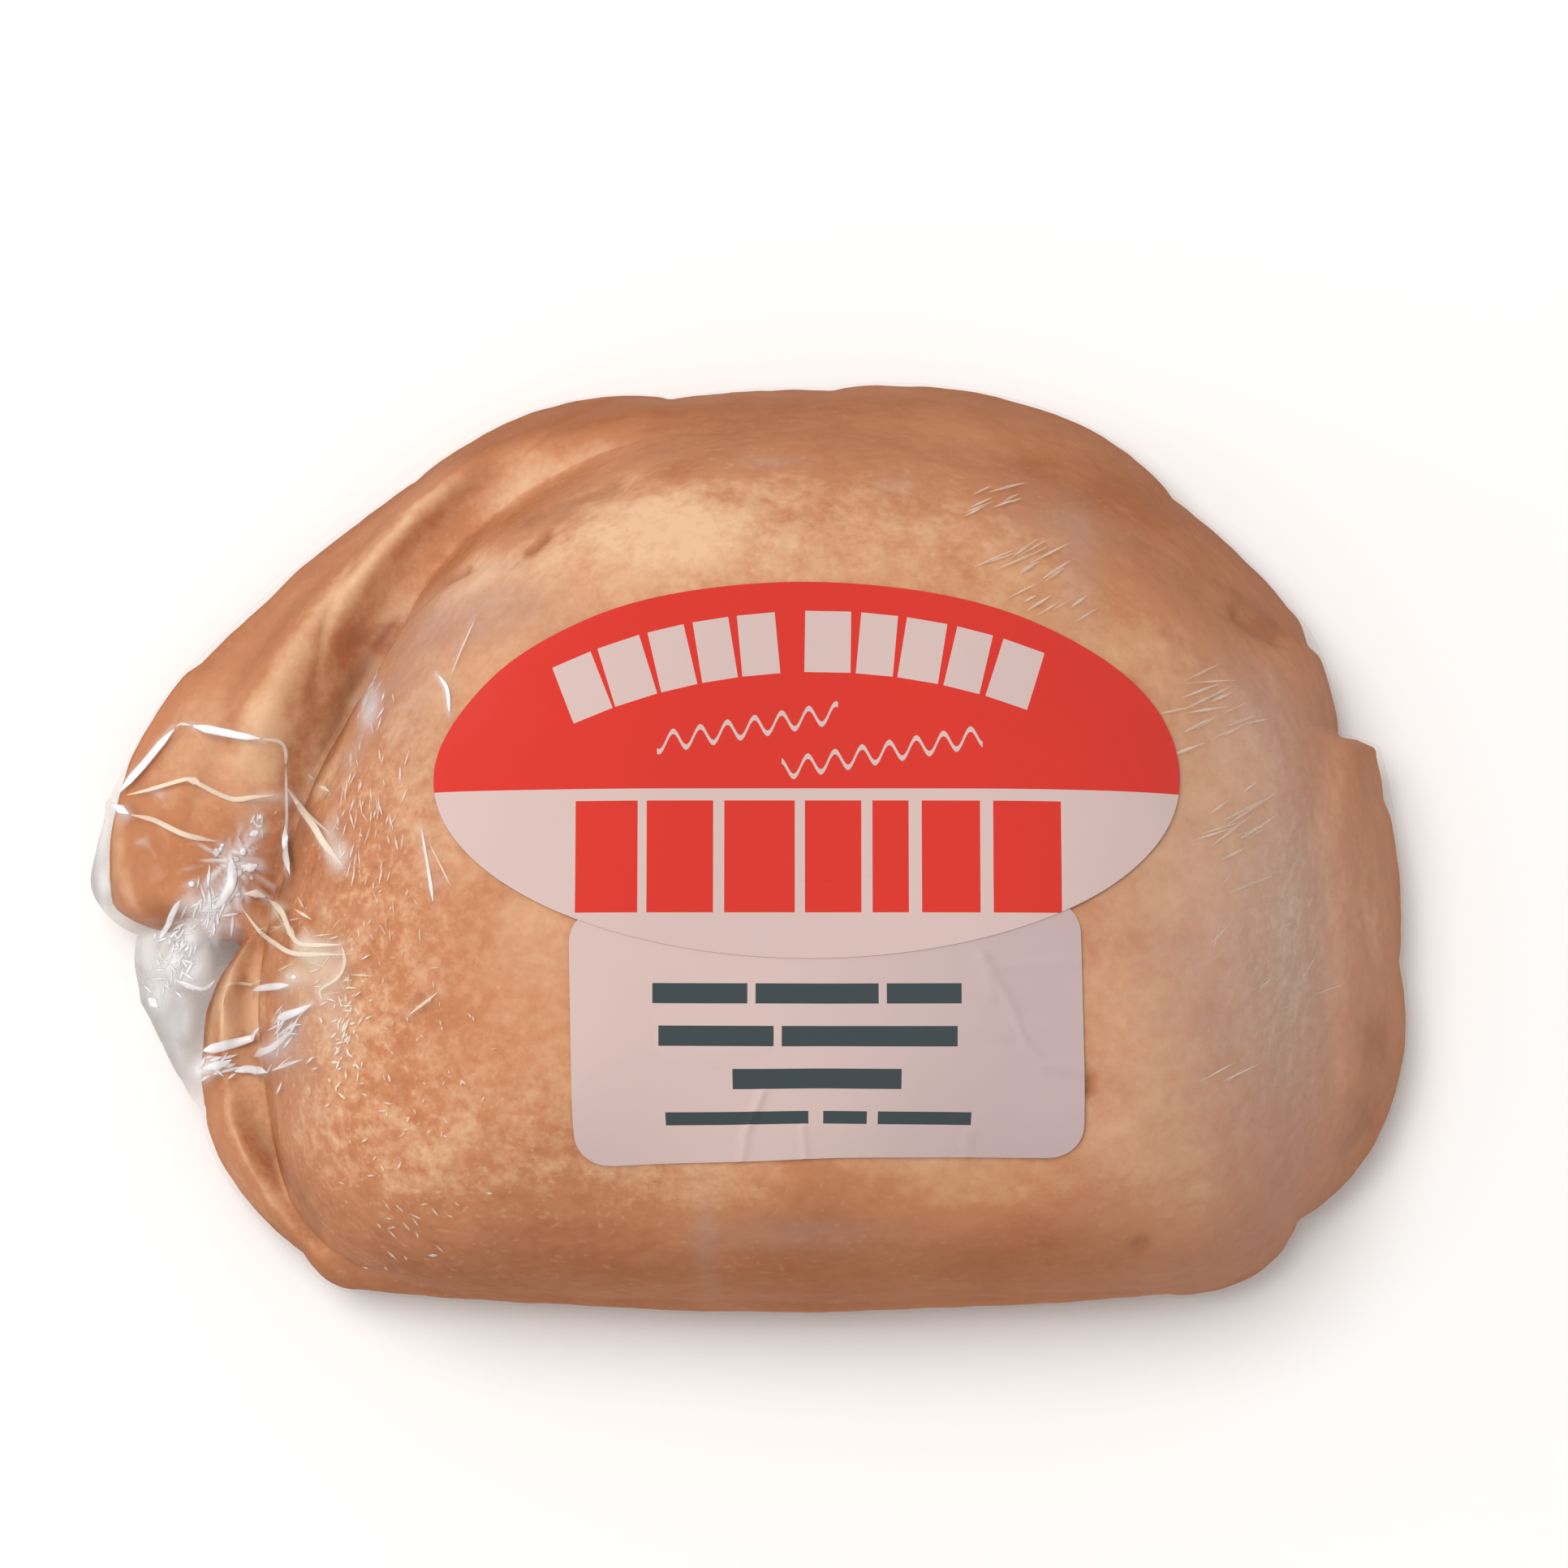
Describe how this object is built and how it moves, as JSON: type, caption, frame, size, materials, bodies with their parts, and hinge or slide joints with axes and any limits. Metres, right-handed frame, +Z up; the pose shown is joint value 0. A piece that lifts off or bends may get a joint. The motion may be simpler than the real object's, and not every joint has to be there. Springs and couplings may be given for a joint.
{
  "type": "film-wrapped pasty",
  "caption": "Baked half-moon pasty with a crimped edge, wrapped in tight clear film, with an oval label stuck over a small rectangular label on its top.",
  "frame": {"origin": "under the middle of the whole, on the surface that the pasty rests on", "axes": "+X along the pasty, to the right as its labels are read; +Y towards its crimped back; +Z up, out of its labelled top"},
  "size_m": [0.1402, 0.1006, 0.0474],
  "materials": {
    "crust": "baked wheat crust, golden tan, browner on its folds",
    "film": "thin clear glossy film with fine creases",
    "small_label_paper": "matt white paper, creased",
    "oval_label_paper": "satin paper, upper part red and lower part white"
  },
  "bodies": {
    "root": {"film_wrapped_pasty": "crust", "small_label": "small_label_paper", "oval_label": "oval_label_paper"}
  },
  "joints": []
}
